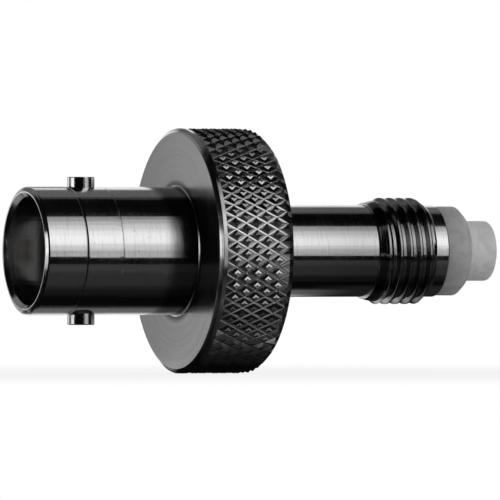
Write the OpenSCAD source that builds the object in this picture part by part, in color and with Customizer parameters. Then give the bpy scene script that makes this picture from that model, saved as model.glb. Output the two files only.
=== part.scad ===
// Straight coaxial adapter: a bayonet jack with an open mouth at one end, a small threaded plug with a
// white nose at the other, and a diamond-knurled grip ring round the middle.
// The axis runs along +X from the mouth to the nose, and +Z passes through the upper bayonet stud.
// The origin is the centre of the mouth's rim. Distances called "from the rim" are along +X.

/* [Bayonet barrel] */
// Outside diameter of the barrel
barrel_d = 9.6; // [9:0.1:10.4]
// Wall of the barrel round the open mouth
barrel_wall = 0.75; // [0.6:0.05:0.9]
// Depth of the open mouth, from the rim to its floor
mouth_depth = 8.7; // [7.2:0.1:9.2]
// Thickness of the web that carries the front insulator
web_t = 1; // [0.6:0.1:1.4]
// Distance from the rim to the first scribed line
scribe_at = 3.27; // [2.8:0.05:3.4]
// Width of the smooth band between the two scribed lines
scribe_band_w = 2.88; // [2.6:0.05:3.4]
// Width of a scribed line
scribe_w = 0.14; // [0.08:0.02:0.2]

/* [Bayonet studs] */
// Diameter of a stud
stud_d = 2.05; // [1.6:0.05:2.4]
// Height of a stud above the barrel
stud_h = 0.74; // [0.5:0.02:1]
// Distance from the rim to the centre of the studs
stud_at = 4.57; // [4.4:0.05:4.8]

/* [Grip ring] */
// Diameter over the knurl
ring_d = 18.4; // [16:0.2:22]
// Width of the ring
ring_w = 6; // [5:0.2:8]
// Distance from the rim to the front face of the ring
ring_at = 12.2; // [12:0.1:13.2]
// Chamfer round both edges of the ring
ring_chamfer = 0.3; // [0.2:0.05:0.45]
// Chamfer at both ends of the ring's hole
ring_hole_chamfer = 0.2; // [0.1:0.05:0.3]
// Distance between two knurl points round the ring
knurl_pitch = 0.96; // [0.8:0.02:1.4]
// Angle between a knurl groove and the axis
knurl_angle = 28; // [24:1:40]
// Depth of the knurl from point to root
knurl_depth = 0.28; // [0.15:0.01:0.35]

/* [Threaded plug] */
// Diameter of the plain neck and of the pilot past the thread
neck_d = 6.9; // [6.5:0.05:7.1]
// Distance from the rim to the shoulder where the neck ends
shoulder_at = 27.3; // [24:0.1:30]
// Length of the thread's run-out next to the shoulder
runout_len = 0.85; // [0.6:0.05:1.2]
// Major diameter of the thread
thread_d = 8; // [7.8:0.05:8.4]
// Length of the full thread, chamfer included
thread_len = 3.8; // [2.8:0.1:6]
// Distance between two crests of the thread
thread_pitch = 0.8; // [0.6:0.05:1]
// Depth of the thread from crest to root
thread_depth = 0.35; // [0.25:0.01:0.4]
// Length of the pilot past the thread
pilot_len = 1.05; // [0.8:0.05:1.6]
// Bore of the threaded shell, which is the line's outer conductor
line_bore_d = 4.8; // [4.4:0.05:5.2]

/* [Front insulator] */
// Diameter of the insulator that stands in the mouth
post_d = 4.7; // [4.2:0.1:5]
// Distance from the rim to the insulator's front face
post_at = 3.35; // [3:0.05:3.8]
// Thickness of the insulator's flange behind the web
flange_t = 1.6; // [1.4:0.1:1.8]

/* [Nose] */
// Diameter of the head outside the pilot
head_d = 6.7; // [6:0.1:6.8]
// Length of the head
head_len = 2.05; // [1.6:0.05:2.6]
// Chamfer round the head
head_chamfer = 0.5; // [0.2:0.05:0.7]
// Diameter of the nose
nose_d = 4.5; // [4:0.1:4.8]
// Length of the nose in front of the head
nose_len = 2.35; // [1.8:0.05:3]
// Radius of the nose's outer edge
nose_edge_r = 0.3; // [0.15:0.05:0.45]
// Diameter of the cup in the nose, round the contact pin
cup_d = 2.8; // [2.6:0.1:3]
// Length of the stem that fills the end of the threaded shell
stem_len = 8.8; // [7:0.1:10]

/* [Contacts] */
// Diameter of the centre contact
contact_d = 2.1; // [1.9:0.05:2.3]
// Bore of the socket
socket_d = 1.4; // [1.3:0.02:1.5]
// Depth of the socket
socket_depth = 5.5; // [4.8:0.1:6]
// Distance by which the socket stands behind the insulator's front face
socket_recess = 0.35; // [0.2:0.05:0.6]
// Length of the slots that make the socket springy
slot_len = 4.4; // [3:0.1:4.6]
// Width of a slot
slot_w = 0.22; // [0.15:0.01:0.3]
// Diameter of the contact pin in the nose
pin_d = 1; // [0.9:0.02:1.1]
// Distance by which the pin's tip stands behind the nose's end
pin_recess = 0.6; // [0.4:0.05:1]
// Diameter of the pin contact where the stem holds it
core_d = 1.44; // [1.3:0.02:1.6]

/* [Fits] */
// Gap between the walls of two pieces that are pressed together
fit_gap = 0.02; // [0.01:0.005:0.03]

/* [Hidden] */
$fn = 96;

nickel = "#b9bbbd";
nickel_matte = "#a2a4a6";
ptfe = "#e9e9e6";
gold = "#d4af55";

// overshoot of a cutting tool past the surface that it cuts
over = 1;

// front shell
barrel_r = barrel_d / 2;
mouth_r = barrel_r - barrel_wall;
rim_chamfer = 0.45 * barrel_wall;
rim_chamfer_len = 0.23 * barrel_wall;
mouth_chamfer = 0.41 * barrel_wall;
scribe_depth = scribe_w / 2;
web_back = mouth_depth + web_t;
shell_end = ring_at + ring_w;
tail_chamfer = ring_hole_chamfer;

// bayonet studs, which stop short of the mouth
stud_foot = mouth_r + 0.06;
stud_edge = 0.08;

// grip ring
ring_r = ring_d / 2;
ring_hole_r = barrel_r + fit_gap;
knurl_w = ring_w - 2 * ring_chamfer;
knurl_count = round(PI * ring_d / knurl_pitch);
knurl_steps = 2 * knurl_count;
knurl_rows = 2 * max(1, round(knurl_w * tan(knurl_angle) / knurl_pitch));

// threaded shell
neck_r = neck_d / 2;
thread_r = thread_d / 2;
thread_rise = thread_r - neck_r;
runout_foot_r = neck_r + 0.3 * thread_rise;
runout_top_r = neck_r + 0.63 * thread_rise;
root_r = thread_r - thread_depth;
crest_w = 0.2 * thread_pitch;
root_w = 0.3 * thread_pitch;
flank_w = (thread_pitch - crest_w - root_w) / 2;
spigot_front = web_back + flange_t;
thread_at = shoulder_at + runout_len;
thread_end = thread_at + thread_len;
thread_chamfer_at = thread_end - thread_rise;
groove_at = thread_at + flank_w * max(0, runout_top_r - root_r) / thread_depth;
groove_count = 1 + floor((thread_chamfer_at - groove_at - root_w - flank_w) / thread_pitch);
pilot_end = thread_end + pilot_len;
pilot_edge = 0.1;
line_r = line_bore_d / 2;

// front insulator and its flange
post_r = post_d / 2;
flange_r = neck_r;
collar_t = flange_t / 2;
collar_r = contact_d / 2 + 0.3;

// nose, head and stem
head_r = head_d / 2;
nose_r = nose_d / 2;
cup_r = cup_d / 2;
head_front = pilot_end + head_len;
nose_end = head_front + nose_len;
stem_back = pilot_end - stem_len;
cup_floor = pilot_end + 0.4;

// contacts
contact_r = contact_d / 2;
socket_r = socket_d / 2;
socket_mouth = post_at + socket_recess;
socket_lead = 0.15;
pin_r = pin_d / 2;
pin_tip = nose_end - pin_recess;
core_r = core_d / 2;
core_collar_r = core_r + 0.25;
core_collar_t = 1.5;
tail_len = 3.2;
tail_gap = 0.25;

// Solid of revolution about the X axis from points [radius, distance from the rim].
module turned(points) {
    rotate([0, 90, 0])
        rotate_extrude()
            polygon(points);
}

// Ring-shaped cutter of triangular section, for a scribed line in a wall of radius r.
module scribe(at, r) {
    turned([
        [r - scribe_depth, at],
        [r + scribe_depth, at - scribe_w],
        [r + scribe_depth, at + scribe_w]
    ]);
}

// Radius of the knurl where row and step meet: points and roots alternate like a chessboard.
function knurl_r(row, step) = (row + step) % 2 == 0 ? ring_r : ring_r - knurl_depth;

// Point of the knurl grid. Half a step of turn puts two lines of points level at the bottom.
function knurl_point(x, r, step) =
    let (turn = 360 * (step + 0.5) / knurl_steps)
    [x, r * cos(turn), r * sin(turn)];

// The four corners of a grid cell are split along the line that joins its two roots.
function cell_faces(row, step) =
    let (
        next = (step + 1) % knurl_steps,
        a = row * knurl_steps + step,
        b = a + knurl_steps,
        c = (row + 1) * knurl_steps + next,
        d = row * knurl_steps + next
    )
    (row + step) % 2 == 0 ? [[a, b, c], [a, c, d]] : [[a, b, d], [b, c, d]];

// Disc with a diamond knurl round its rim and a chamfer at both edges.
module knurled_disc() {
    face_r = ring_r - ring_chamfer;
    row_w = knurl_w / knurl_rows;
    first = ring_at + ring_chamfer;
    points = concat(
        [for (s = [0 : knurl_steps - 1]) knurl_point(ring_at, face_r, s)],
        [for (r = [0 : knurl_rows], s = [0 : knurl_steps - 1])
            knurl_point(first + r * row_w, knurl_r(r, s), s)],
        [for (s = [0 : knurl_steps - 1]) knurl_point(ring_at + ring_w, face_r, s)]
    );
    last = (knurl_rows + 2) * knurl_steps;
    faces = concat(
        [[for (s = [0 : knurl_steps - 1]) s]],
        [for (r = [0 : knurl_rows + 1], s = [0 : knurl_steps - 1], f = cell_faces(r, s)) f],
        [[for (s = [knurl_steps - 1 : -1 : 0]) last + s]]
    );
    polyhedron(points, faces, convexity = 6);
}

// Tube of the bayonet jack, which runs on under the grip ring and takes the threaded shell.
module front_shell() {
    tail_r = neck_r + fit_gap;
    color(nickel)
    difference() {
        turned([
            [mouth_r + mouth_chamfer, 0],
            [barrel_r - rim_chamfer, 0],
            [barrel_r, rim_chamfer_len],
            [barrel_r, shell_end - tail_chamfer],
            [barrel_r - tail_chamfer, shell_end],
            [tail_r + tail_chamfer, shell_end],
            [tail_r, shell_end - tail_chamfer],
            [tail_r, web_back],
            [post_r + fit_gap, web_back],
            [post_r + fit_gap, mouth_depth],
            [mouth_r, mouth_depth],
            [mouth_r, mouth_chamfer]
        ]);
        scribe(scribe_at, barrel_r);
        scribe(scribe_at + scribe_band_w, barrel_r);
        translate([stud_at, 0, 0])
            for (side = [0, 180])
                rotate([side, 0, 0])
                    cylinder(r = stud_d / 2 + fit_gap, h = barrel_r + over);
    }
}

// Round stud pressed into the wall of the barrel, pointing along +Z.
module stud() {
    stud_r = stud_d / 2;
    top = barrel_r + stud_h;
    color(nickel)
    translate([stud_at, 0, 0])
        rotate_extrude()
            polygon([
                [0, stud_foot],
                [stud_r, stud_foot],
                [stud_r, top - stud_edge],
                [stud_r - stud_edge, top],
                [0, top]
            ]);
}

module upper_stud() {
    stud();
}

module lower_stud() {
    rotate([180, 0, 0])
        stud();
}

// Knurled ring pressed on the tail of the front shell.
module grip_ring() {
    hole_flare = ring_hole_r + ring_hole_chamfer;
    ring_end = ring_at + ring_w;
    color(nickel_matte)
    difference() {
        knurled_disc();
        turned([
            [0, ring_at - over],
            [hole_flare + over, ring_at - over],
            [ring_hole_r, ring_at + ring_hole_chamfer],
            [ring_hole_r, ring_end - ring_hole_chamfer],
            [hole_flare + over, ring_end + over],
            [0, ring_end + over]
        ]);
    }
}

// Section of one thread groove and of the crest past it; the last crest runs on to the end chamfer.
function groove(i) =
    let (at = groove_at + i * thread_pitch, crest_at = at + root_w + flank_w)
    [
        [root_r, at],
        [root_r, at + root_w],
        [thread_r, crest_at],
        [thread_r, i < groove_count - 1 ? crest_at + crest_w : thread_chamfer_at]
    ];

// Neck, thread and pilot in one turned piece; its front end clamps the front insulator's flange.
// The thread is a row of ring grooves behind a tapered run-out.
module rear_shell() {
    color(nickel)
    turned([
        [line_r, spigot_front],
        [neck_r, spigot_front],
        [neck_r, shoulder_at],
        [runout_foot_r, shoulder_at],
        [runout_top_r, thread_at],
        for (i = [0 : groove_count - 1]) each groove(i),
        [neck_r, thread_end],
        [neck_r, pilot_end - pilot_edge],
        [neck_r - pilot_edge, pilot_end],
        [line_r, pilot_end]
    ]);
}

// Post in the mouth with a flange behind the web.
module front_insulator() {
    hole_r = contact_r + fit_gap;
    color(ptfe)
    turned([
        [hole_r, post_at],
        [post_r, post_at],
        [post_r, web_back],
        [flange_r, web_back],
        [flange_r, spigot_front],
        [collar_r + fit_gap, spigot_front],
        [collar_r + fit_gap, spigot_front - collar_t],
        [hole_r, spigot_front - collar_t]
    ]);
}

// White nose and head outside the threaded shell, with a stem that fills the end of its bore.
module rear_insulator() {
    hole_r = core_r + fit_gap;
    stem_r = line_r - fit_gap;
    edge_x = nose_end - nose_edge_r;
    color(ptfe)
    rotate([0, 90, 0])
        rotate_extrude()
            union() {
                polygon([
                    [core_collar_r + fit_gap, stem_back],
                    [stem_r, stem_back],
                    [stem_r, pilot_end],
                    [head_r, pilot_end],
                    [head_r, head_front - head_chamfer],
                    [head_r - head_chamfer, head_front],
                    [nose_r, head_front],
                    [nose_r, edge_x],
                    [nose_r - nose_edge_r, edge_x],
                    [nose_r - nose_edge_r, nose_end],
                    [cup_r, nose_end],
                    [cup_r, cup_floor],
                    [hole_r, cup_floor],
                    [hole_r, stem_back + core_collar_t],
                    [core_collar_r + fit_gap, stem_back + core_collar_t]
                ]);
                translate([nose_r - nose_edge_r, edge_x])
                    circle(r = nose_edge_r);
            }
}

// Slotted socket, with a collar in the front insulator and a hole in its tail for the pin contact.
module socket_contact() {
    color(gold)
    difference() {
        turned([
            [socket_r + socket_lead, socket_mouth],
            [contact_r - socket_lead / 2, socket_mouth],
            [contact_r, socket_mouth + socket_lead / 2],
            [contact_r, spigot_front - collar_t],
            [collar_r, spigot_front - collar_t],
            [collar_r, spigot_front],
            [contact_r, spigot_front],
            [contact_r, stem_back],
            [pin_r, stem_back],
            [pin_r, stem_back - tail_len],
            [0, stem_back - tail_len],
            [0, socket_mouth + socket_depth],
            [socket_r, socket_mouth + socket_depth],
            [socket_r, socket_mouth + socket_lead]
        ]);
        for (turn = [0, 90])
            rotate([45 + turn, 0, 0])
                translate([socket_mouth - over, -contact_d, -slot_w / 2])
                    cube([slot_len + over, 2 * contact_d, slot_w]);
    }
}

// Pin in the nose's cup, with a collar behind the stem and a tail in the socket contact.
module pin_contact() {
    tip_r = 0.6 * pin_r;
    tip_len = 0.5 * pin_r;
    tail_r = pin_r - fit_gap;
    color(gold)
    turned([
        [0, stem_back - tail_len + tail_gap],
        [tail_r, stem_back - tail_len + tail_gap],
        [tail_r, stem_back],
        [core_collar_r, stem_back],
        [core_collar_r, stem_back + core_collar_t],
        [core_r, stem_back + core_collar_t],
        [core_r, cup_floor],
        [pin_r, cup_floor],
        [pin_r, pin_tip - tip_len],
        [tip_r, pin_tip],
        [0, pin_tip]
    ]);
}

front_shell();
upper_stud();
lower_stud();
grip_ring();
rear_shell();
front_insulator();
rear_insulator();
socket_contact();
pin_contact();
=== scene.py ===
import bmesh
import bpy
import math
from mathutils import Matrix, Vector


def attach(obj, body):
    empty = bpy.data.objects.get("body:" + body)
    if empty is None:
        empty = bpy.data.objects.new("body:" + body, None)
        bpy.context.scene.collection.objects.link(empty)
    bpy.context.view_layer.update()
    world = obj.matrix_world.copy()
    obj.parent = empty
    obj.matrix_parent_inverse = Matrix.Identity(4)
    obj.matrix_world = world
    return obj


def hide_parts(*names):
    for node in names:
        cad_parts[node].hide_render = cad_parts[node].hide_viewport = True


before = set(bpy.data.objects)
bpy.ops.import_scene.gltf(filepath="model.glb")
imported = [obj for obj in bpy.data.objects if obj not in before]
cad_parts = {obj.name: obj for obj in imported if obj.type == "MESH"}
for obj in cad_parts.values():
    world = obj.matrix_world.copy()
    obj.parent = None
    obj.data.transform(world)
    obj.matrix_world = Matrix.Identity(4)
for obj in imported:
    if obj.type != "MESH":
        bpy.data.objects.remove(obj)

scene = bpy.context.scene
scene.view_settings.view_transform = "Standard"
mm = 0.001  # pieces are modelled in millimetres and brought to metres at the end
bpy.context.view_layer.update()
print("frame: loaded", len(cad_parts), "nodes")

near = 0.01  # slack for picking points by their place
weldReach = 0.0005  # points nearer than this become one
axisRadius = 0.02  # stands for the axis itself in a turned outline


# small helpers for the workbench

def clearSelection():
    if bpy.context.mode != "OBJECT":
        bpy.ops.object.mode_set(mode="OBJECT")
    bpy.ops.object.select_all(action="DESELECT")


def takeUp(piece):
    clearSelection()
    piece.select_set(True)
    bpy.context.view_layer.objects.active = piece


def nameIt(name):
    piece = bpy.context.object
    piece.name = name
    piece.data.name = name
    return piece


def applyTransforms():
    bpy.ops.object.transform_apply(location=True, rotation=True, scale=True)


def pick(piece, kind, test):  # select verts, edges or faces of the piece in edit mode by a test
    mesh = bmesh.from_edit_mesh(piece.data)
    bpy.ops.mesh.select_mode(type={"verts": "VERT", "edges": "EDGE", "faces": "FACE"}[kind])
    bpy.ops.mesh.select_all(action="DESELECT")
    for item in getattr(mesh, kind):
        if test(item):
            item.select_set(True)
    mesh.select_flush_mode()
    bmesh.update_edit_mesh(piece.data)


def outFromAxis(point):
    return math.hypot(point.y, point.z)


def growFromAxis(share):
    bpy.ops.transform.resize(value=(1, share, share), center_override=(0, 0, 0))


def turnAboutAxis(angle):
    bpy.ops.object.mode_set(mode="EDIT")
    bpy.ops.mesh.select_all(action="SELECT")
    bpy.ops.transform.rotate(value=angle, orient_axis="X", center_override=(0, 0, 0))


def applyModifier(piece, kind, **values):
    takeUp(piece)
    modifier = piece.modifiers.new(kind.lower(), kind)
    for key, value in values.items():
        setattr(modifier, key, value)
    bpy.ops.object.modifier_apply(modifier=modifier.name)


def cutWith(piece, cutter):
    applyModifier(piece, "BOOLEAN", operation="DIFFERENCE", solver="EXACT", object=cutter)
    bpy.data.objects.remove(cutter, do_unlink=True)


def easeEdges(piece, width, segments=2, angle=28):
    applyModifier(piece, "BEVEL", width=width, segments=segments, limit_method="ANGLE",
                  angle_limit=math.radians(angle), use_clamp_overlap=True)


def closeMesh():
    bpy.ops.mesh.select_all(action="SELECT")
    bpy.ops.mesh.remove_doubles(threshold=weldReach)
    bpy.ops.mesh.normals_make_consistent(inside=False)
    bpy.ops.object.mode_set(mode="OBJECT")


def turnPiece(name, stations, around=192, closed=True):  # lathe work about X, stations are (x, radius)
    firstX, firstRadius = stations[0]
    clearSelection()
    bpy.ops.mesh.primitive_circle_add(vertices=around, radius=firstRadius, fill_type="NOTHING",
                                      location=(firstX, 0, 0), rotation=(0, math.pi / 2, 0))
    piece = nameIt(name)
    applyTransforms()
    bpy.ops.object.mode_set(mode="EDIT")
    bpy.ops.mesh.select_mode(type="EDGE")
    bpy.ops.mesh.select_all(action="SELECT")
    path = stations + stations[:1] if closed else stations
    for (xFrom, rFrom), (xTo, rTo) in zip(path, path[1:]):  # pull the ring from station to station
        bpy.ops.mesh.extrude_edges_move(TRANSFORM_OT_translate={"value": (xTo - xFrom, 0, 0)})
        if rTo != rFrom:
            growFromAxis(rTo / rFrom)
    closeMesh()
    return piece


def handOver(piece, node, material, angle=30):  # to metres, smooth, dressed, in its node's place
    takeUp(piece)
    bpy.ops.object.shade_smooth_by_angle(angle=math.radians(angle))
    applyModifier(piece, "WEIGHTED_NORMAL", mode="FACE_AREA", weight=90, thresh=0,
                  keep_sharp=True)  # large faces stay flat
    piece.scale = (mm, mm, mm)
    applyTransforms()
    piece.data.materials.clear()
    piece.data.materials.append(material)
    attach(piece, "root")
    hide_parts(node)
    print("piece:", piece.name, len(piece.data.polygons), "faces")


# shader node helpers

def addNode(tree, kind, inputs=(), **values):
    made = tree.nodes.new(kind)
    for key, value in values.items():
        setattr(made, key, value)
    for key, value in dict(inputs).items():
        if isinstance(value, bpy.types.NodeSocket):
            tree.links.new(value, made.inputs[key])
        else:
            made.inputs[key].default_value = value
    return made


def doMath(tree, operation, *values):
    return addNode(tree, "ShaderNodeMath", dict(enumerate(values)), operation=operation).outputs[0]


def vectorMath(tree, operation, *values):
    made = addNode(tree, "ShaderNodeVectorMath", dict(enumerate(values)), operation=operation)
    return made.outputs["Value" if operation in ("DOT_PRODUCT", "DISTANCE") else "Vector"]


def ramp(tree, value, low, high, toLow=0.0, toHigh=1.0):
    return addNode(tree, "ShaderNodeMapRange", {"Value": value, "From Min": low, "From Max": high,
                                                "To Min": toLow, "To Max": toHigh},
                   interpolation_type="SMOOTHSTEP").outputs[0]


def band(tree, value, rise, fall):  # 1 between the rise and the fall, 0 outside
    return doMath(tree, "MULTIPLY", ramp(tree, value, *rise), ramp(tree, value, *fall))


def dimOn(tree, mask, level):  # 1 off the mask, the level on it
    return ramp(tree, mask, 0.0, 1.0, 1.0, level)


def mixColour(tree, factor, first, second):
    return addNode(tree, "ShaderNodeMix", {0: factor, 6: first, 7: second}, data_type="RGBA").outputs[2]


def grey(level):
    return (level, level, level, 1)


def newGroup(name, inputs, outputs):
    group = bpy.data.node_groups.new(name, "ShaderNodeTree")
    for label, kind in inputs:
        group.interface.new_socket(label, in_out="INPUT", socket_type=kind)
    for label in outputs:
        group.interface.new_socket(label, in_out="OUTPUT", socket_type="NodeSocketFloat")
    return group, group.nodes.new("NodeGroupInput"), group.nodes.new("NodeGroupOutput")


def newMaterial(name, **constants):
    material = bpy.data.materials.new(name)
    material.use_nodes = True
    shader = material.node_tree.nodes["Principled BSDF"]
    for key, value in constants.items():
        shader.inputs[key].default_value = value
    place = addNode(material.node_tree, "ShaderNodeTexCoord").outputs["Object"]
    return material, material.node_tree, shader, place


# marks that a lathe tool leaves: fine lines round the axis on walls, rings round it on faces
latheTool = {"streaks": (1.0, 1.0, 3.0), "lines": (2.6, 0.35, 1.0),  # share of fineness and run, detail
             "roughness": 0.62}
latheMarks, marksIn, marksOut = newGroup(
    "latheMarks",
    [("Position", "NodeSocketVector"), ("Fineness", "NodeSocketFloat"), ("Run", "NodeSocketFloat")],
    ["Streaks", "Lines", "Radius", "Along"])
marksAxes = addNode(latheMarks, "ShaderNodeSeparateXYZ", {0: marksIn.outputs["Position"]}).outputs
marksRadius = doMath(latheMarks, "SQRT", doMath(
    latheMarks, "ADD", doMath(latheMarks, "POWER", marksAxes["Y"], 2.0),
    doMath(latheMarks, "POWER", marksAxes["Z"], 2.0)))


def marksNoise(fineFactor, runFactor, detail):
    fine = doMath(latheMarks, "MULTIPLY", marksIn.outputs["Fineness"], fineFactor)
    run = doMath(latheMarks, "MULTIPLY", marksIn.outputs["Run"], runFactor)
    spot = addNode(latheMarks, "ShaderNodeCombineXYZ", {
        "X": doMath(latheMarks, "MULTIPLY", marksAxes["X"], fine),
        "Y": doMath(latheMarks, "MULTIPLY", marksRadius, fine),
        "Z": doMath(latheMarks, "MULTIPLY", marksAxes["Y"], run)})
    noise = addNode(latheMarks, "ShaderNodeTexNoise", {
        "Vector": spot.outputs[0], "W": doMath(latheMarks, "MULTIPLY", marksAxes["Z"], run),
        "Scale": 1.0, "Detail": detail, "Roughness": latheTool["roughness"]}, noise_dimensions="4D")
    return noise.outputs[0]


for label, value in (("Streaks", marksNoise(*latheTool["streaks"])),
                     ("Lines", marksNoise(*latheTool["lines"])),
                     ("Radius", marksRadius), ("Along", marksAxes["X"])):
    latheMarks.links.new(value, marksOut.inputs[label])

# handling: soft smudges, and small pits and specks
wear = {"detail": 4.0, "roughness": 0.55, "distortion": 0.6, "smudge": (0.38, 0.68),
        "speck": (0.05, 0.11, 1.0, 0.0)}
handling, handlingIn, handlingOut = newGroup(
    "handling", [("Position", "NodeSocketVector"), ("Smudge Scale", "NodeSocketFloat"),
                 ("Speck Scale", "NodeSocketFloat")], ["Smudge", "Specks"])
smudge = addNode(handling, "ShaderNodeTexNoise", {
    "Vector": handlingIn.outputs["Position"], "Scale": handlingIn.outputs["Smudge Scale"],
    "Detail": wear["detail"], "Roughness": wear["roughness"], "Distortion": wear["distortion"]}).outputs[0]
speck = addNode(handling, "ShaderNodeTexVoronoi", {
    "Vector": handlingIn.outputs["Position"], "Scale": handlingIn.outputs["Speck Scale"],
    "Randomness": 1.0}).outputs["Distance"]
handling.links.new(ramp(handling, smudge, *wear["smudge"]), handlingOut.inputs["Smudge"])
handling.links.new(ramp(handling, speck, *wear["speck"]), handlingOut.inputs["Specks"])
print("materials: groups built")


def startFinish(name, finish, **constants):  # a material with its lathe marks and its handling
    material, tree, shader, place = newMaterial(name, **constants)
    lathe = addNode(tree, "ShaderNodeGroup", {
        "Position": place, "Fineness": finish["fineness"], "Run": finish["run"]}, node_tree=latheMarks)
    hand = addNode(tree, "ShaderNodeGroup", {
        "Position": place, "Smudge Scale": finish["smudgeScale"],
        "Speck Scale": finish.get("speckScale", 0.0)}, node_tree=handling)
    return material, tree, shader, lathe.outputs, hand.outputs


def addBump(tree, shader, finish, height):
    bump = addNode(tree, "ShaderNodeBump", {
        "Height": height, "Strength": finish["bump"], "Distance": finish["bumpHeight"]})
    tree.links.new(bump.outputs[0], shader.inputs["Normal"])


# polished nickel of both shells and the studs
nickel = {
    "fineness": 9000.0, "run": 700.0, "smudgeScale": 420.0, "speckScale": 1500.0,
    "light": 0.72, "dark": 0.62, "streaks": (0.45, 0.75), "specks": 0.4, "speckTint": 0.15,
    "barrelTone": (2 * mm, 11 * mm, 1.0, 0.93),
    "neckTone": (19 * mm, 27 * mm, 1.0, 0.76),  # the plating dulls towards the thread
    "pilot": (31.6 * mm, 32.0 * mm),
    # painted shade: the barrel is darker next to the grip ring, where the ring blocks what its metal would
    # mirror
    "ringShade": ((9.3 * mm, 10.7 * mm), (14 * mm, 13 * mm)), "ringShadeTone": 0.4,
    # painted shade: the run-out cone is darker, standing in for the dark it mirrors
    "runOutShade": ((27.28 * mm, 27.34 * mm), (28.02 * mm, 27.96 * mm)), "runOutShadeTone": 0.3,
    "thread": ((27.3 * mm, 27.5 * mm), (31.9 * mm, 31.5 * mm)), "threadTone": 0.68, "threadBump": 0.2,
    "lines": (0.3, 0.75), "rough": (0.08, 0.15), "smudgeRough": 0.04,
    "mouthWall": (4.15 * mm, 4.07 * mm), "mouthFloor": (8.9 * mm, 8.6 * mm), "mouthRough": 0.06,
    "streakHeight": 0.3, "bump": 0.6, "bumpHeight": 0.007 * mm,
}


def makeNickel():
    material, tree, shader, lathe, hand = startFinish("polishedNickel", nickel, Metallic=1.0)
    along = lathe["Along"]
    tint = mixColour(tree, ramp(tree, lathe["Streaks"], *nickel["streaks"]),
                     grey(nickel["light"]), grey(nickel["dark"]))
    tint = mixColour(tree, doMath(tree, "MULTIPLY", hand["Specks"], nickel["specks"]),
                     tint, grey(nickel["speckTint"]))
    tone = doMath(tree, "MULTIPLY", ramp(tree, along, *nickel["barrelTone"]),
                  ramp(tree, along, *nickel["neckTone"]))
    tone = doMath(tree, "MAXIMUM", tone, ramp(tree, along, *nickel["pilot"]))  # the pilot is bright again
    # bands along the axis: painted shade beside the ring and on the run-out, and the thread's darker tone
    masks = {part: band(tree, along, *nickel[part]) for part in ("ringShade", "runOutShade", "thread")}
    for part, mask in masks.items():
        tone = doMath(tree, "MULTIPLY", tone, dimOn(tree, mask, nickel[part + "Tone"]))
    tree.links.new(mixColour(tree, tone, grey(0.0), tint), shader.inputs["Base Color"])
    rough = doMath(tree, "ADD", ramp(tree, lathe["Lines"], *nickel["lines"], *nickel["rough"]),
                   doMath(tree, "MULTIPLY", hand["Smudge"], nickel["smudgeRough"]))
    inMouth = doMath(tree, "MULTIPLY", ramp(tree, lathe["Radius"], *nickel["mouthWall"]),
                     ramp(tree, along, *nickel["mouthFloor"]))
    rough = doMath(tree, "ADD", rough, doMath(tree, "MULTIPLY", inMouth, nickel["mouthRough"]))
    tree.links.new(rough, shader.inputs["Roughness"])
    height = doMath(tree, "ADD", lathe["Lines"],
                    doMath(tree, "MULTIPLY", lathe["Streaks"], nickel["streakHeight"]))
    addBump(tree, shader, nickel,
            doMath(tree, "MULTIPLY", height, dimOn(tree, masks["thread"], nickel["threadBump"])))
    return material


# nickel of the grip ring: painted highlight in the knurl's grooves, dull on the faced sides, painted shade
# beside the hole
ringNickel = {
    "fineness": 5200.0, "run": 260.0, "smudgeScale": 300.0,
    "faceLight": 0.6, "faceDark": 0.53, "lines": (0.35, 0.7),
    # painted shade: a thin dark ring on the face just outside the hole, where it meets the barrel
    "holeFall": (4.92 * mm, 4.96 * mm, 1.0, 0.25), "holeRise": (5.0 * mm, 5.5 * mm, 0.25, 1.0),
    "knurl": (8.82 * mm, 8.92 * mm), "knurlLight": 0.54, "knurlDark": 0.43,
    # painted highlight: the knurl's grooves are lighter, so its lattice lines shine
    "groove": (9.02 * mm, 8.97 * mm), "grooveHighlightTint": 0.84,
    "rough": (0.2, 0.16), "smudgeRough": 0.05, "bump": 0.5, "bumpHeight": 0.002 * mm,
}


def makeRingNickel():
    material, tree, shader, lathe, hand = startFinish("knurledNickel", ringNickel, Metallic=1.0)
    radius = lathe["Radius"]
    faceTint = mixColour(tree, ramp(tree, lathe["Lines"], *ringNickel["lines"]),
                         grey(ringNickel["faceLight"]), grey(ringNickel["faceDark"]))
    # painted shade on the face next to the hole
    holeShade = doMath(tree, "MAXIMUM", ramp(tree, radius, *ringNickel["holeFall"]),
                    ramp(tree, radius, *ringNickel["holeRise"]))
    faceTint = mixColour(tree, holeShade, grey(0.0), faceTint)
    knurlTint = mixColour(tree, hand["Smudge"], grey(ringNickel["knurlLight"]), grey(ringNickel["knurlDark"]))
    grooveHighlight = ramp(tree, radius, *ringNickel["groove"])  # painted highlight in the grooves, so the knurl's lattice lines shine
    knurlTint = mixColour(tree, grooveHighlight, knurlTint, grey(ringNickel["grooveHighlightTint"]))
    onKnurl = ramp(tree, radius, *ringNickel["knurl"])
    tree.links.new(mixColour(tree, onKnurl, faceTint, knurlTint), shader.inputs["Base Color"])
    rough = doMath(tree, "ADD", ramp(tree, onKnurl, 0.0, 1.0, *ringNickel["rough"]),
                   doMath(tree, "MULTIPLY", hand["Smudge"], ringNickel["smudgeRough"]))
    tree.links.new(rough, shader.inputs["Roughness"])
    addBump(tree, shader, ringNickel, lathe["Lines"])
    return material


# white plastic: faint mottling, soft tool lines, painted shade on the head and painted light on the nose
plastic = {
    "fineness": 3200.0, "run": 500.0, "smudgeScale": 900.0, "ior": 1.38,
    # painted shade: the head is darker at its back, next to the pilot, and lighter towards its front
    "head": 0.36, "headFront": 0.48, "headShadeRamp": (33.0 * mm, 34.9 * mm),
    # painted light: the nose is lighter than the head, standing in for light coming through the thin plastic
    "nose": 0.7, "noseFrom": (35.0 * mm, 35.08 * mm), "mottle": 0.86,
    "streaks": (0.3, 0.7), "rough": (0.42, 0.54), "bump": 0.5, "bumpHeight": 0.006 * mm,
}


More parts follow.
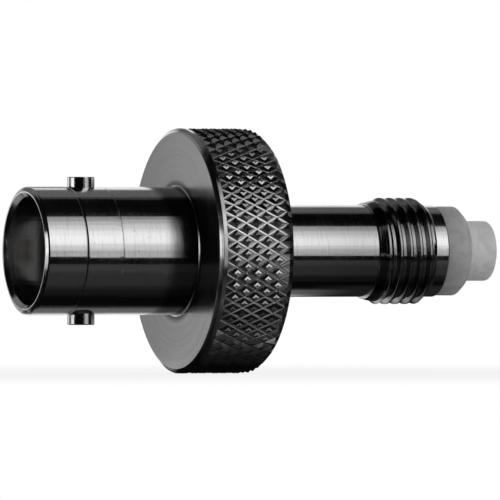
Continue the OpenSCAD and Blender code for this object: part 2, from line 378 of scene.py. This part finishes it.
def makePlastic():
    material, tree, shader, lathe, hand = startFinish("whitePlastic", plastic, IOR=plastic["ior"])
    # painted shade along the head, then painted light on the nose
    tint = mixColour(tree, ramp(tree, lathe["Along"], *plastic["headShadeRamp"]),
                     grey(plastic["head"]), grey(plastic["headFront"]))
    tint = mixColour(tree, ramp(tree, lathe["Along"], *plastic["noseFrom"]), tint, grey(plastic["nose"]))
    mottle = dimOn(tree, hand["Smudge"], plastic["mottle"])
    tree.links.new(mixColour(tree, mottle, grey(0.0), tint), shader.inputs["Base Color"])
    tree.links.new(ramp(tree, lathe["Streaks"], *plastic["streaks"], *plastic["rough"]),
                   shader.inputs["Roughness"])
    addBump(tree, shader, plastic, doMath(tree, "ADD", lathe["Lines"], hand["Smudge"]))
    return material


# pale gold plating of the centre contacts
gold = {
    "fineness": 9000.0, "run": 900.0, "smudgeScale": 900.0,
    "light": (0.6, 0.53, 0.38, 1), "dark": (0.52, 0.45, 0.32, 1), "streaks": (0.35, 0.7),
    "lines": (0.3, 0.7), "rough": (0.16, 0.28), "smudgeRough": 0.06,
}


def makeGold():
    material, tree, shader, lathe, hand = startFinish("goldContact", gold, Metallic=1.0)
    tint = mixColour(tree, ramp(tree, lathe["Streaks"], *gold["streaks"]), gold["light"], gold["dark"])
    tree.links.new(tint, shader.inputs["Base Color"])
    rough = doMath(tree, "ADD", ramp(tree, lathe["Lines"], *gold["lines"], *gold["rough"]),
                   doMath(tree, "MULTIPLY", hand["Smudge"], gold["smudgeRough"]))
    tree.links.new(rough, shader.inputs["Roughness"])
    return material


polishedNickel = makeNickel()
knurledNickel = makeRingNickel()
whitePlastic = makePlastic()
goldContact = makeGold()
print("materials: four finishes ready")


# barrel of the bayonet jack: rim, scribed lines, open mouth, web, tail under the ring
barrel = {
    "radius": 4.8, "mouthRadius": 4.05, "mouthDepth": 8.7, "mouthChamfer": 0.3075,
    "rimChamfer": 0.3375, "rimChamferLength": 0.1725, "rimRound": 0.2, "rimSteps": 4,
    "firstLine": 3.27, "firstHalf": 0.1, "firstDepth": 0.07,
    "secondLine": 6.15, "secondHalf": 0.05, "secondDepth": 0.013,
    "webBack": 9.7, "webHole": 2.37, "end": 18.2, "tailRadius": 3.47, "tailChamfer": 0.2, "ease": 0.025,
}
stud = {
    "x": 4.57, "radius": 1.025, "foot": 4.11, "top": 5.54, "edge": 0.08, "around": 72,
    "gap": 0.02, "holeLength": 4, "holeMargin": 0.06,
    "markInset": 0.55, "markSlope": 0.12, "markDepth": 0.015,
}


def scribed(line):  # stations of a fine line scribed round the barrel
    middle, half, depth = (barrel[line + part] for part in ("Line", "Half", "Depth"))
    return [(middle - half, barrel["radius"]), (middle, barrel["radius"] - depth),
            (middle + half, barrel["radius"])]


studReach = stud["radius"] + stud["gap"] + stud["holeMargin"]
rimTilt = math.atan2(barrel["rimChamfer"], barrel["rimChamferLength"])
rimCentre = barrel["rimChamferLength"] + barrel["rimRound"] * math.tan(rimTilt / 2)
rimTurns = [rimTilt * step / barrel["rimSteps"] for step in range(barrel["rimSteps"], -1, -1)]
rimArc = [(rimCentre - barrel["rimRound"] * math.sin(turn),
           barrel["radius"] - barrel["rimRound"] * (1 - math.cos(turn))) for turn in rimTurns]
frontShell = turnPiece("frontShell", [
    (0, barrel["mouthRadius"] + barrel["mouthChamfer"]),
    (0, barrel["radius"] - barrel["rimChamfer"]),
] + rimArc + scribed("first") + [
    (stud["x"] - studReach, barrel["radius"]),
    (stud["x"] + studReach, barrel["radius"]),
] + scribed("second") + [
    (barrel["end"] - barrel["tailChamfer"], barrel["radius"]),
    (barrel["end"], barrel["radius"] - barrel["tailChamfer"]),
    (barrel["end"], barrel["tailRadius"] + barrel["tailChamfer"]),
    (barrel["end"] - barrel["tailChamfer"], barrel["tailRadius"]),
    (barrel["webBack"], barrel["tailRadius"]),
    (barrel["webBack"], barrel["webHole"]),
    (barrel["mouthDepth"], barrel["webHole"]),
    (barrel["mouthDepth"], barrel["mouthRadius"]),
    (stud["x"] + studReach, barrel["mouthRadius"]),
    (stud["x"] - studReach, barrel["mouthRadius"]),
    (barrel["mouthChamfer"], barrel["mouthRadius"]),
])
easeEdges(frontShell, barrel["ease"])
for side in (1, -1):  # holes that the studs are pressed into
    clearSelection()
    bpy.ops.mesh.primitive_cylinder_add(vertices=stud["around"], radius=stud["radius"] + stud["gap"],
                                        depth=stud["holeLength"],
                                        location=(stud["x"], 0, side * barrel["radius"]))
    cutWith(frontShell, nameIt("studHole"))
handOver(frontShell, "front_shell", polishedNickel)


# bayonet studs: round pins with an eased top and a faint centre mark left by parting off
clearSelection()
bpy.ops.mesh.primitive_cylinder_add(vertices=stud["around"], radius=stud["radius"],
                                    depth=stud["top"] - stud["foot"],
                                    location=(stud["x"], 0, (stud["top"] + stud["foot"]) / 2))
upperStud = nameIt("upperStud")
applyTransforms()
bpy.ops.object.mode_set(mode="EDIT")
pick(upperStud, "edges", lambda edge: min(v.co.z for v in edge.verts) > stud["top"] - near)
bpy.ops.mesh.bevel(offset=stud["edge"], segments=3, affect="EDGES")
pick(upperStud, "faces", lambda face: face.normal.z > 1 - near
     and face.calc_center_median().z > stud["top"] - near)
bpy.ops.mesh.inset(thickness=stud["markInset"], depth=0)
bpy.ops.mesh.inset(thickness=stud["markSlope"], depth=-stud["markDepth"])
takeUp(upperStud)
bpy.ops.object.duplicate(linked=False)
lowerStud = nameIt("lowerStud")
turnAboutAxis(math.pi)
handOver(upperStud, "upper_stud", polishedNickel)
handOver(lowerStud, "lower_stud", polishedNickel)


# grip ring: a thin lip at the hole, a plain land, and a diamond knurl of raised points with dimpled tips
grip = {
    "front": 12.2, "back": 18.2, "radius": 9.2, "chamfer": 0.3, "backFace": 8.74,
    "hole": 4.82, "holeChamfer": 0.2, "lip": 0.1, "lipLength": 0.074,
    "faceEase": ((0, -0.06), (0.015, -0.015), (0.05, 0.03)),  # steps over the front edge, along and out
    "landFrom": 12.46, "landTo": 12.74, "landEase": 0.03, "landDrop": 0.005, "landStep": 0.03,
    "knurlEnd": 17.75, "backCut": 17.7, "backSlope": 0.7,
    "points": 60, "rows": 6, "depth": 0.28, "groove": 0.075, "rootSlack": 0.05, "peak": 9.28,
    "tip": 0.3, "tipReach": 0.15, "tipStep": 0.12, "tipRise": 0.035, "tipRim": 0.06, "tipDip": 0.05,
}
gripFace = grip["radius"] - grip["chamfer"]
gripRoot = grip["radius"] - grip["depth"]
landRadius = grip["radius"] - grip["landDrop"]
knurlFront = grip["landTo"] + grip["landStep"]
knurlStep = (grip["knurlEnd"] - knurlFront) / grip["rows"]
gripRing = turnPiece("gripRing", [
    (grip["front"] - grip["lipLength"], grip["hole"]),
    (grip["front"], grip["hole"] + grip["lip"]),
] + [(grip["front"] + along, gripFace + out) for along, out in grip["faceEase"]] + [
    (grip["landFrom"] - grip["landEase"], grip["radius"] - grip["landEase"]),
    (grip["landFrom"], landRadius),
    (grip["landTo"], landRadius),
] + [(knurlFront + row * knurlStep, gripRoot) for row in range(grip["rows"] + 1)] + [
    (grip["back"], grip["backFace"]),
    (grip["back"], grip["hole"] + grip["holeChamfer"]),
    (grip["back"] - grip["holeChamfer"], grip["hole"]),
], around=2 * grip["points"])
turnAboutAxis(math.pi / (2 * grip["points"]))


def knurlPlace(vert):  # row and step of a knurl vertex, or None off the knurl
    row = (vert.co.x - knurlFront) / knurlStep
    inRow = abs(row - round(row)) < near and 0 <= round(row) <= grip["rows"]
    if not inRow or outFromAxis(vert.co) < gripRoot - grip["rootSlack"]:
        return None
    step = math.atan2(vert.co.z, vert.co.y) / math.pi * grip["points"] - 0.5
    return round(row), round(step)


def isPoint(vert):
    place = knurlPlace(vert)
    return place is not None and sum(place) % 2 == 0


def isRoot(vert):
    place = knurlPlace(vert)
    return place is not None and sum(place) % 2 == 1


def isTip(vert):  # a point away from both edges
    return isPoint(vert) and 0 < knurlPlace(vert)[0] < grip["rows"]


def spotOf(vert):
    return tuple(round(c, 3) for c in vert.co)


pick(gripRing, "verts", isPoint)
growFromAxis(grip["radius"] / gripRoot)
pick(gripRing, "verts", lambda vert: isPoint(vert) and vert.co.x > grip["backCut"])
growFromAxis(1 - grip["backSlope"] * (grip["knurlEnd"] - grip["backCut"]) / grip["radius"])
pick(gripRing, "verts", isRoot)
bpy.ops.mesh.vert_connect()  # split each cell along its groove
pick(gripRing, "verts", isTip)
growFromAxis(grip["peak"] / grip["radius"])
tipSpots = {spotOf(vert) for vert in bmesh.from_edit_mesh(gripRing.data).verts if isTip(vert)}
pick(gripRing, "edges", lambda edge: all(isRoot(v) for v in edge.verts))
bpy.ops.mesh.bevel(offset=grip["groove"], segments=3, affect="EDGES", clamp_overlap=True)
pick(gripRing, "verts", lambda vert: spotOf(vert) in tipSpots)
bpy.ops.mesh.bevel(offset=grip["tip"], segments=1, affect="VERTICES", clamp_overlap=True)
tipLow = grip["radius"] - grip["tipReach"]
pick(gripRing, "faces", lambda face: len(face.verts) == 4 and min(v.co.x for v in face.verts) > knurlFront
     and min(outFromAxis(v.co) for v in face.verts) > tipLow)
bpy.ops.mesh.inset(thickness=grip["tipStep"], depth=grip["tipRise"], use_individual=True)
bpy.ops.mesh.inset(thickness=grip["tipRim"], depth=-grip["tipDip"], use_individual=True)
closeMesh()
handOver(gripRing, "grip_ring", knurledNickel, angle=12)


# threaded shell: neck, shoulder, rolled thread with a run-out, end chamfer and pilot
plug = {
    "front": 11.3, "neck": 3.45, "bore": 2.4, "pilotEnd": 33.0, "pilotEdge": 0.1, "ease": 0.03,
    "shoulder": 27.3, "foot": 3.615, "taperTo": 27.98, "taperTop": 3.78, "landTo": 28.2,
    "crestFrom": 28.32, "crest": 4.0, "chamferFrom": 31.4,
    "depth": 0.35, "pitch": 0.8, "crestNear": 29.69, "turnsBefore": 5, "turns": 9, "around": 144,
    "threadFrom": 27.6, "fadeFrom": 27.75, "fadeTo": 28.15, "threadTo": 31.97, "join": 0.05,
    "toothSide": ((0.4, 0), (0.309, 0), (0.284, 0.007), (0.266, 0.025), (0.0915, 0.33),
                  (0.077, 0.345), (0.057, 0.35)),  # root to crest: from the tooth's middle, above the root
}


def blankRadius(x):  # the turned blank before its thread is cut: taper, short land, crest, end chamfer
    if x < plug["taperTo"]:
        share = (x - plug["shoulder"]) / (plug["taperTo"] - plug["shoulder"])
        return plug["foot"] + (plug["taperTop"] - plug["foot"]) * share
    if x < plug["crestFrom"]:
        share = max(x - plug["landTo"], 0) / (plug["crestFrom"] - plug["landTo"])
        return plug["taperTop"] + (plug["crest"] - plug["taperTop"]) * share
    return max(plug["crest"] - max(x - plug["chamferFrom"], 0), plug["neck"])


rearShell = turnPiece("rearShell", [
    (plug["threadFrom"] - plug["join"], blankRadius(plug["threadFrom"] - plug["join"])),
    (plug["shoulder"], plug["foot"]),
    (plug["shoulder"], plug["neck"]),
    (plug["front"], plug["neck"]),
    (plug["front"], plug["bore"]),
    (plug["pilotEnd"], plug["bore"]),
    (plug["pilotEnd"], plug["neck"] - plug["pilotEdge"]),
    (plug["pilotEnd"] - plug["pilotEdge"], plug["neck"]),
    (plug["threadTo"] + plug["join"], plug["neck"]),
], closed=False)
easeEdges(rearShell, plug["ease"])

clearSelection()
threadRoot = plug["crest"] - plug["depth"]
tooth = [(-x, h) for x, h in plug["toothSide"]] + [(x, h) for x, h in reversed(plug["toothSide"])]
threadStart = plug["crestNear"] - plug["turnsBefore"] * plug["pitch"]
bpy.ops.mesh.primitive_plane_add(location=(threadStart + tooth[0][0], -threadRoot, 0))
threadTurns = nameIt("threadTurns")
applyTransforms()
bpy.ops.object.mode_set(mode="EDIT")
bpy.ops.mesh.select_mode(type="VERT")
bpy.ops.mesh.select_all(action="SELECT")
bpy.ops.mesh.merge(type="CENTER")  # one vertex to draw the tooth from
for (xFrom, hFrom), (xTo, hTo) in zip(tooth, tooth[1:]):
    bpy.ops.mesh.extrude_vertices_move(TRANSFORM_OT_translate={"value": (xTo - xFrom, hFrom - hTo, 0)})
bpy.ops.object.mode_set(mode="OBJECT")
applyModifier(threadTurns, "SCREW", axis="X", angle=2 * math.pi, screw_offset=plug["pitch"],
              iterations=plug["turns"], steps=plug["around"], render_steps=plug["around"],
              use_smooth_shade=True)
bpy.ops.object.mode_set(mode="EDIT")
bpy.ops.mesh.select_all(action="SELECT")
bpy.ops.mesh.remove_doubles(threshold=2 * weldReach)
for cutAt, keep in ((plug["threadFrom"], 1), (plug["threadTo"], -1)):
    bpy.ops.mesh.select_all(action="SELECT")
    bpy.ops.mesh.bisect(plane_co=(cutAt, 0, 0), plane_no=(-keep, 0, 0), clear_outer=True,
                        threshold=weldReach / 5)
threadMesh = bmesh.from_edit_mesh(threadTurns.data)
for vert in threadMesh.verts:  # the groove fades out in the taper, and the end chamfer cuts the crests
    fade = min(max((vert.co.x - plug["fadeFrom"]) / (plug["fadeTo"] - plug["fadeFrom"]), 0), 1)
    reach = outFromAxis(vert.co)
    blank = blankRadius(vert.co.x)
    wanted = max(blank - max(blank - reach, 0) * fade * fade * (3 - 2 * fade), plug["neck"])
    vert.co.y *= wanted / reach
    vert.co.z *= wanted / reach
bmesh.update_edit_mesh(threadTurns.data)

takeUp(rearShell)
threadTurns.select_set(True)
bpy.ops.object.join()
bpy.ops.object.mode_set(mode="EDIT")
for joinAt in (plug["threadFrom"], plug["threadTo"]):
    pick(rearShell, "edges", lambda edge: edge.is_boundary and all(
        abs(v.co.x - joinAt) < plug["join"] + near for v in edge.verts))
    bpy.ops.mesh.bridge_edge_loops()
closeMesh()
handOver(rearShell, "rear_shell", polishedNickel, angle=38)


# white insulator in the mouth
post = {"front": 3.35, "radius": 2.35, "webBack": 9.7, "flange": 3.45, "back": 11.3, "hole": 1.07,
        "collar": 1.37, "collarDepth": 0.8, "ease": 0.08}
frontInsulator = turnPiece("frontInsulator", [
    (post["front"], post["hole"]), (post["front"], post["radius"]), (post["webBack"], post["radius"]),
    (post["webBack"], post["flange"]), (post["back"], post["flange"]), (post["back"], post["collar"]),
    (post["back"] - post["collarDepth"], post["collar"]), (post["back"] - post["collarDepth"], post["hole"]),
], around=128)
easeEdges(frontInsulator, post["ease"])
handOver(frontInsulator, "front_insulator", whitePlastic)


# white head and nose of the plug, with the stem inside the threaded shell
nose = {"stemBack": 24.2, "stem": 2.38, "headBack": 33.0, "head": 3.35, "headFront": 35.05,
        "headChamfer": 0.5, "radius": 2.25, "end": 37.4, "edge": 0.3, "edgeSteps": 6, "cup": 1.4,
        "cupEdge": 0.08, "cupFloor": 33.4, "hole": 0.74, "collar": 0.99, "collarDepth": 1.5, "ease": 0.06}
noseTurns = [math.radians(90 * step / nose["edgeSteps"]) for step in range(nose["edgeSteps"] + 1)]
noseArc = [(nose["end"] - nose["edge"] * (1 - math.sin(turn)),
            nose["radius"] - nose["edge"] * (1 - math.cos(turn))) for turn in noseTurns]
rearInsulator = turnPiece("rearInsulator", [
    (nose["stemBack"], nose["collar"]), (nose["stemBack"], nose["stem"]), (nose["headBack"], nose["stem"]),
    (nose["headBack"], nose["head"]), (nose["headFront"] - nose["headChamfer"], nose["head"]),
    (nose["headFront"], nose["head"] - nose["headChamfer"]), (nose["headFront"], nose["radius"]),
] + noseArc + [
    (nose["end"], nose["cup"] + nose["cupEdge"]), (nose["end"] - nose["cupEdge"], nose["cup"]),
    (nose["cupFloor"], nose["cup"]), (nose["cupFloor"], nose["hole"]),
    (nose["stemBack"] + nose["collarDepth"], nose["hole"]),
    (nose["stemBack"] + nose["collarDepth"], nose["collar"]),
], around=160)
easeEdges(rearInsulator, nose["ease"])
handOver(rearInsulator, "rear_insulator", whitePlastic)


# slotted socket contact
socket = {"mouth": 3.7, "radius": 1.05, "bore": 0.7, "lead": 0.15, "depth": 5.5, "collar": 1.35,
          "collarFrom": 10.5, "collarTo": 11.3, "end": 24.2, "tailHole": 0.5, "tailDepth": 3.2, "ease": 0.02,
          "slot": 0.22, "slotLength": 4.4, "slotOver": 1.0, "slotTurns": (45, 135)}
socketContact = turnPiece("socketContact", [
    (socket["mouth"], socket["bore"] + socket["lead"]),
    (socket["mouth"], socket["radius"] - socket["lead"] / 2),
    (socket["mouth"] + socket["lead"] / 2, socket["radius"]),
    (socket["collarFrom"], socket["radius"]), (socket["collarFrom"], socket["collar"]),
    (socket["collarTo"], socket["collar"]), (socket["collarTo"], socket["radius"]),
    (socket["end"], socket["radius"]), (socket["end"], socket["tailHole"]),
    (socket["end"] - socket["tailDepth"], socket["tailHole"]),
    (socket["end"] - socket["tailDepth"], axisRadius),
    (socket["mouth"] + socket["depth"], axisRadius), (socket["mouth"] + socket["depth"], socket["bore"]),
    (socket["mouth"] + socket["lead"], socket["bore"]),
], around=96)
easeEdges(socketContact, socket["ease"])
for turn in socket["slotTurns"]:
    slotMiddle = socket["mouth"] + (socket["slotLength"] - socket["slotOver"]) / 2
    clearSelection()
    bpy.ops.mesh.primitive_cube_add(size=1, location=(slotMiddle, 0, 0), rotation=(math.radians(turn), 0, 0))
    slotCutter = nameIt("slotCutter")
    slotCutter.scale = (socket["slotLength"] + socket["slotOver"], 4 * socket["radius"], socket["slot"])
    applyTransforms()
    cutWith(socketContact, slotCutter)
handOver(socketContact, "socket_contact", goldContact)


# pin contact in the cup of the nose
pin = {"tailFrom": 21.25, "tail": 0.48, "collarFrom": 24.2, "collar": 0.97, "collarTo": 25.7, "core": 0.72,
       "cupFloor": 33.4, "radius": 0.5, "tip": 36.8, "tipLength": 0.25, "tipRadius": 0.3, "ease": 0.03}
pinContact = turnPiece("pinContact", [
    (pin["tailFrom"], axisRadius), (pin["tailFrom"], pin["tail"]), (pin["collarFrom"], pin["tail"]),
    (pin["collarFrom"], pin["collar"]), (pin["collarTo"], pin["collar"]), (pin["collarTo"], pin["core"]),
    (pin["cupFloor"], pin["core"]), (pin["cupFloor"], pin["radius"]),
    (pin["tip"] - pin["tipLength"], pin["radius"]), (pin["tip"], pin["tipRadius"]), (pin["tip"], axisRadius),
], around=96)
easeEdges(pinContact, pin["ease"])
handOver(pinContact, "pin_contact", goldContact)
print("pieces: all nine nodes replaced")


# stage helpers, in metres

def towards(turn, lift):  # unit direction, turn from -Y towards +X and lift above the floor, in degrees
    turn, lift = math.radians(turn), math.radians(lift)
    return Vector((math.sin(turn) * math.cos(lift), -math.cos(turn) * math.cos(lift), math.sin(lift)))


def addPlane(name, width, height, location, turn=(0, 0, 0)):
    clearSelection()
    bpy.ops.mesh.primitive_plane_add(size=1.0, location=location, rotation=turn)
    plane = nameIt(name)
    plane.scale = (width, height, 1)
    applyTransforms()
    return plane


def glowMaterial(name):
    material = bpy.data.materials.new(name)
    material.use_nodes = True
    tree = material.node_tree
    tree.nodes.clear()
    glow = addNode(tree, "ShaderNodeEmission", {"Strength": 1.0})
    addNode(tree, "ShaderNodeOutputMaterial", {"Surface": glow.outputs[0]})
    return material, tree, glow, addNode(tree, "ShaderNodeTexCoord").outputs["Object"]


def hangCard(card, paint):  # a card that only shows in reflections
    card.data.materials.append(paint)
    card.visible_camera = False
    card.visible_diffuse = False
    card.visible_shadow = False
    card.visible_transmission = False
    card.visible_volume_scatter = False


def seenWhite(tree):  # camera, mirror and glass rays see the white background
    path = addNode(tree, "ShaderNodeLightPath").outputs
    return doMath(tree, "MAXIMUM", path["Is Camera Ray"],
                  doMath(tree, "MAXIMUM", path["Is Glossy Ray"], path["Is Transmission Ray"]))


# stage: white floor, dark studio surround that only reflections see, two softboxes
stage = {
    "floor": -9.2 * mm, "floorSize": 6.0, "floorTint": 0.85, "floorRough": 0.9,
    "floorWhite": 0.84, "shadowFade": (0.03, 0.15), "ambient": 0.35,
    "aim": Vector((18.19 * mm, 0, 0.07 * mm)), "cameraTurn": -21.9, "cameraAway": 1.5,
    "frameWidth": 37.5 * mm, "sensor": 36.0, "clip": (0.05, 20.0),
}
floor = addPlane("floor", stage["floorSize"], stage["floorSize"], (0, 0, stage["floor"]))
floorPaint, floorTree, floorShader, floorPlace = newMaterial(
    "floorPaint", **{"Base Color": grey(stage["floorTint"]), "Roughness": stage["floorRough"]})
floorGlow = addNode(floorTree, "ShaderNodeEmission", {"Color": grey(1.0), "Strength": 1.0})
floorAway = vectorMath(floorTree, "DISTANCE", floorPlace, (stage["aim"].x, 0, stage["floor"]))
# the shadow lies near the object, beyond it is plain white
floorShare = doMath(floorTree, "MULTIPLY", seenWhite(floorTree),
                    ramp(floorTree, floorAway, *stage["shadowFade"], stage["floorWhite"], 1.0))
floorMix = addNode(floorTree, "ShaderNodeMixShader", {
    0: floorShare, 1: floorShader.outputs[0], 2: floorGlow.outputs[0]})
floorTree.links.new(floorMix.outputs[0], floorTree.nodes["Material Output"].inputs["Surface"])
floor.data.materials.append(floorPaint)

# dark mat on the floor, paling to white behind the object, with strips and patches that the metal mirrors
matCard = {
    "size": 1.2, "middle": -0.48, "lift": 0.03 * mm, "base": 0.003, "slant": 0.408,
    "steps": ((-0.026, -0.021, 0.055), (-0.017, -0.012, 0.034), (-0.008, -0.005, 0.01),
              (-0.004, -0.003, 0.003), (0.0, 0.0025, 0.16), (0.005, 0.012, 1.0)),  # from and to in Y, level
    "patches": {  # level, then each side with its value outside and inside
        "leftFloor": (0.003, ("X", -0.001, -0.003), ("Y", 0.03, 0.029)),
        "frontStrip": (0.6, ("Y", -0.049, -0.053), ("across", -0.014, -0.006), ("across", 0.05, 0.042)),
        "backPatch": (0.26, ("X", -0.0035, -0.0045), ("Y", 0.009, 0.0105)),
        "leftStrip": (0.8, ("X", -0.038, -0.046), ("lean", -0.33, -0.28), ("lean", 0.18, 0.13)),
        "gripPatch": (0.24, ("X", 0.015, 0.016), ("X", 0.0222, 0.0212),
                      ("Y", -0.015, -0.0135), ("Y", -0.008, -0.0095)),
        "threadFloor": (0.02, ("X", 0.0235, 0.0295), ("Y", -0.002, 0.0)),
    },
}
mat = addPlane("darkMat", matCard["size"], matCard["size"],
               (0, matCard["middle"], stage["floor"] + matCard["lift"]))
matPaint, matTree, matGlow, matPlace = glowMaterial("matPaint")
matAxes = addNode(matTree, "ShaderNodeSeparateXYZ", {0: matPlace}).outputs
matSlant = doMath(matTree, "MULTIPLY", matAxes["Y"], matCard["slant"])
matValues = {
    "X": matAxes["X"], "Y": matAxes["Y"], "across": doMath(matTree, "ADD", matAxes["X"], matSlant),
    "lean": doMath(matTree, "DIVIDE", matAxes["Y"], matAxes["X"]),
}
matShade = grey(matCard["base"])
for backFrom, backTo, level in matCard["steps"]:
    matShade = mixColour(matTree, ramp(matTree, matAxes["Y"], backFrom, backTo), matShade, grey(level))
for level, *sides in matCard["patches"].values():
    mask = 1.0
    for way, outside, inside in sides:
        mask = doMath(matTree, "MULTIPLY", mask, ramp(matTree, matValues[way], outside, inside))
    matShade = mixColour(matTree, mask, matShade, grey(level))
matTree.links.new(matShade, matGlow.inputs["Color"])
hangCard(mat, matPaint)

# dark surround: black in front and overhead, grey towards the back, open behind
studio = {
    "centre": Vector((0.018, 0, 0)), "radius": 0.6, "segments": 64, "rings": 32, "opening": 0.9,
    "front": 0.003, "backSteps": ((0.38, 0.5, 0.14), (0.8, 0.9, 1.0)),
    "glows": [  # direction, start and full extent as a cosine, level: three glows, and dark at the right
        (Vector((-0.36, 0.62, 0.7)).normalized(), 0.945, 0.965, 0.2), (towards(76, 41), 0.945, 0.985, 0.16),
        (towards(-157.8, 0), 0.955, 0.985, 1.0), (towards(97, 0), 0.88, 0.94, 0.003)],
}
awayFromCamera = -towards(stage["cameraTurn"], 0)
clearSelection()
bpy.ops.mesh.primitive_uv_sphere_add(segments=studio["segments"], ring_count=studio["rings"],
                                     radius=studio["radius"], location=studio["centre"])
surround = nameIt("darkSurround")
applyTransforms()
bpy.ops.object.mode_set(mode="EDIT")
pick(surround, "faces", lambda face: (face.calc_center_median() - studio["centre"]).normalized().dot(
    awayFromCamera) > studio["opening"])
bpy.ops.mesh.delete(type="FACE")
bpy.ops.object.mode_set(mode="OBJECT")
surroundPaint, surroundTree, surroundGlow, surroundPlace = glowMaterial("surroundPaint")
surroundWay = vectorMath(surroundTree, "NORMALIZE", vectorMath(
    surroundTree, "SUBTRACT", surroundPlace, tuple(studio["centre"])))
surroundShade = grey(studio["front"])
backSteps = [(awayFromCamera, *step) for step in studio["backSteps"]]
for way, low, high, level in backSteps + studio["glows"]:
    wayDot = vectorMath(surroundTree, "DOT_PRODUCT", surroundWay, tuple(way))
    surroundShade = mixColour(surroundTree, ramp(surroundTree, wayDot, low, high), surroundShade, grey(level))
surroundTree.links.new(surroundShade, surroundGlow.inputs["Color"])
hangCard(surround, surroundPaint)


def addSoftbox(name, box):
    facing = towards(box["turn"], box["lift"])
    side = towards(box["turn"] + 90, 0)
    up = facing.cross(side)
    lamp = bpy.data.lights.new(name, "AREA")
    lamp.shape = "RECTANGLE"
    lamp.size, lamp.size_y = box["width"], box["height"]
    lamp.energy = box["level"] * math.pi * box["width"] * box["height"]
    made = bpy.data.objects.new(name, lamp)
    scene.collection.objects.link(made)
    made.location = stage["aim"] + (facing + side * box["sideways"] + up * box["upwards"]) * box["away"]
    made.rotation_euler = facing.to_track_quat("Z", "Y").to_euler()
    made.visible_camera = False
    return made


mainBox = {
    "turn": 24, "lift": 25, "away": 0.3, "width": 0.19, "height": 0.347, "level": 1.25,
    "sideways": -0.025, "upwards": 0.0785,
    "stops": ((0.0, 0.46), (0.19, 0.75), (0.28, 0.97), (0.43, 1.0), (0.58, 0.78), (0.75, 0.55), (1.0, 0.24)),
}
leftBox = {"turn": -95, "lift": 0, "away": 0.3, "width": 0.161, "height": 0.11, "level": 1.35,
           "sideways": 0.0, "upwards": 0.0}
mainLamp = addSoftbox("mainSoftbox", mainBox)
mainLamp.visible_glossy = False
addSoftbox("leftSoftbox", leftBox)

# face of the main softbox as the metal mirrors it, brightest a little below its middle
mainFace = addPlane("mainFace", mainBox["width"], mainBox["height"],
                    mainLamp.location, mainLamp.rotation_euler)
faceUp = mainLamp.rotation_euler.to_matrix() @ Vector((0, 1, 0))
facePaint, faceTree, faceGlow, facePlace = glowMaterial("facePaint")
faceFrom = vectorMath(faceTree, "SUBTRACT", facePlace, tuple(mainLamp.location))
faceHeight = vectorMath(faceTree, "DOT_PRODUCT", faceFrom, tuple(faceUp / mainBox["height"]))
faceRamp = addNode(faceTree, "ShaderNodeValToRGB", {"Fac": doMath(faceTree, "ADD", faceHeight, 0.5)})
faceStops = faceRamp.color_ramp.elements
for at, level in mainBox["stops"][1:-1]:
    faceStops.new(at).color = grey(level)
faceStops[0].color = grey(mainBox["stops"][0][1])
faceStops[-1].color = grey(mainBox["stops"][-1][1])
faceTree.links.new(faceRamp.outputs["Color"], faceGlow.inputs["Color"])
faceGlow.inputs["Strength"].default_value = mainBox["level"]
hangCard(mainFace, facePaint)

# grey card behind the barrel, which the ring's front face mirrors
greyCard = {"place": (0.005, 0.016, 0.002), "width": 0.012, "height": 0.022,
            "fade": (0.003, 0.009, 0.43, 0.29)}
backCard = addPlane("backCard", greyCard["width"], greyCard["height"],
                    greyCard["place"], (math.pi / 2, 0, 0))
cardPaint, cardTree, cardGlow, cardPlace = glowMaterial("cardPaint")
cardAxes = addNode(cardTree, "ShaderNodeSeparateXYZ", {0: cardPlace}).outputs
cardTree.links.new(ramp(cardTree, cardAxes["X"], *greyCard["fade"]), cardGlow.inputs["Color"])
hangCard(backCard, cardPaint)

world = bpy.data.worlds.new("studio")
scene.world = world
world.use_nodes = True
worldTree = world.node_tree
worldTree.nodes.clear()
ambientLight = addNode(worldTree, "ShaderNodeBackground", {"Color": grey(1.0), "Strength": stage["ambient"]})
whiteBack = addNode(worldTree, "ShaderNodeBackground", {"Color": grey(1.0), "Strength": 1.0})
worldMix = addNode(worldTree, "ShaderNodeMixShader", {0: seenWhite(worldTree), 1: ambientLight.outputs[0],
                                                      2: whiteBack.outputs[0]})
addNode(worldTree, "ShaderNodeOutputWorld", {"Surface": worldMix.outputs[0]})

# long lens, level with the axis and a little towards the mouth
lens = bpy.data.cameras.new("camera")
lens.sensor_fit = "HORIZONTAL"
lens.sensor_width = stage["sensor"]
lens.lens = stage["sensor"] * stage["cameraAway"] / stage["frameWidth"]
lens.clip_start, lens.clip_end = stage["clip"]
camera = bpy.data.objects.new("camera", lens)
scene.collection.objects.link(camera)
cameraWay = towards(stage["cameraTurn"], 0)
camera.location = stage["aim"] + cameraWay * stage["cameraAway"]
camera.rotation_euler = cameraWay.to_track_quat("Z", "Y").to_euler()
scene.camera = camera
print("stage: floor, cards, lamps and camera set")
